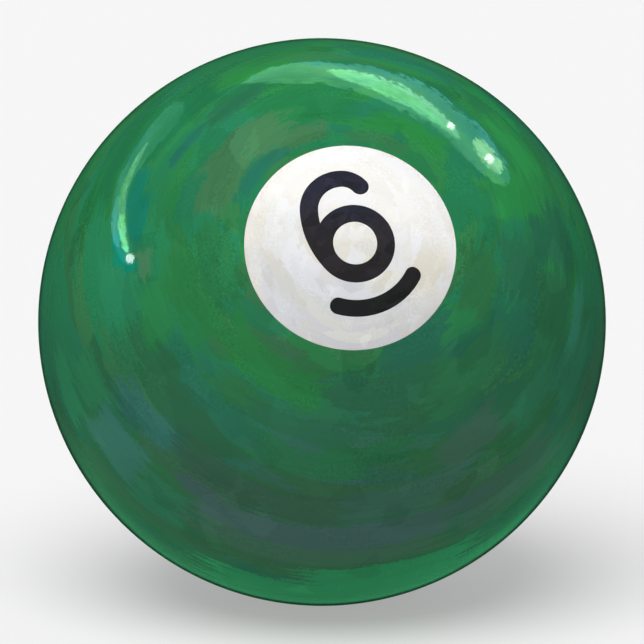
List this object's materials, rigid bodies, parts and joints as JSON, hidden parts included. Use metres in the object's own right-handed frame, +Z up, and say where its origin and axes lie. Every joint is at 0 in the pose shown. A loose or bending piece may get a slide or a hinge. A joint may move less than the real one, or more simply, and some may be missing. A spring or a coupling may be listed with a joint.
{
  "type": "pool ball",
  "caption": "Polished green billiard ball with a white number disc and a black underlined numeral let flush into opposite sides.",
  "frame": {"origin": "centre of the ball", "axes": "+Z up as the ball rests on a level bed; the front number's axis lies in the YZ plane, points towards -Y and is tilted 25 degrees above the horizontal, and the back number is straight opposite; both numerals are turned 21.8 degrees anticlockwise in their discs"},
  "size_m": [0.0572, 0.0572, 0.0572],
  "materials": {
    "green_resin": "polished cast resin, swirled greens",
    "white_resin": "polished cast resin, off-white",
    "black_resin": "polished cast resin, black"
  },
  "bodies": {
    "root": {"ball_body": "green_resin", "number_disc_front": "white_resin", "number_disc_back": "white_resin", "numeral_front": "black_resin", "numeral_back": "black_resin", "underline_front": "black_resin", "underline_back": "black_resin"}
  },
  "joints": []
}
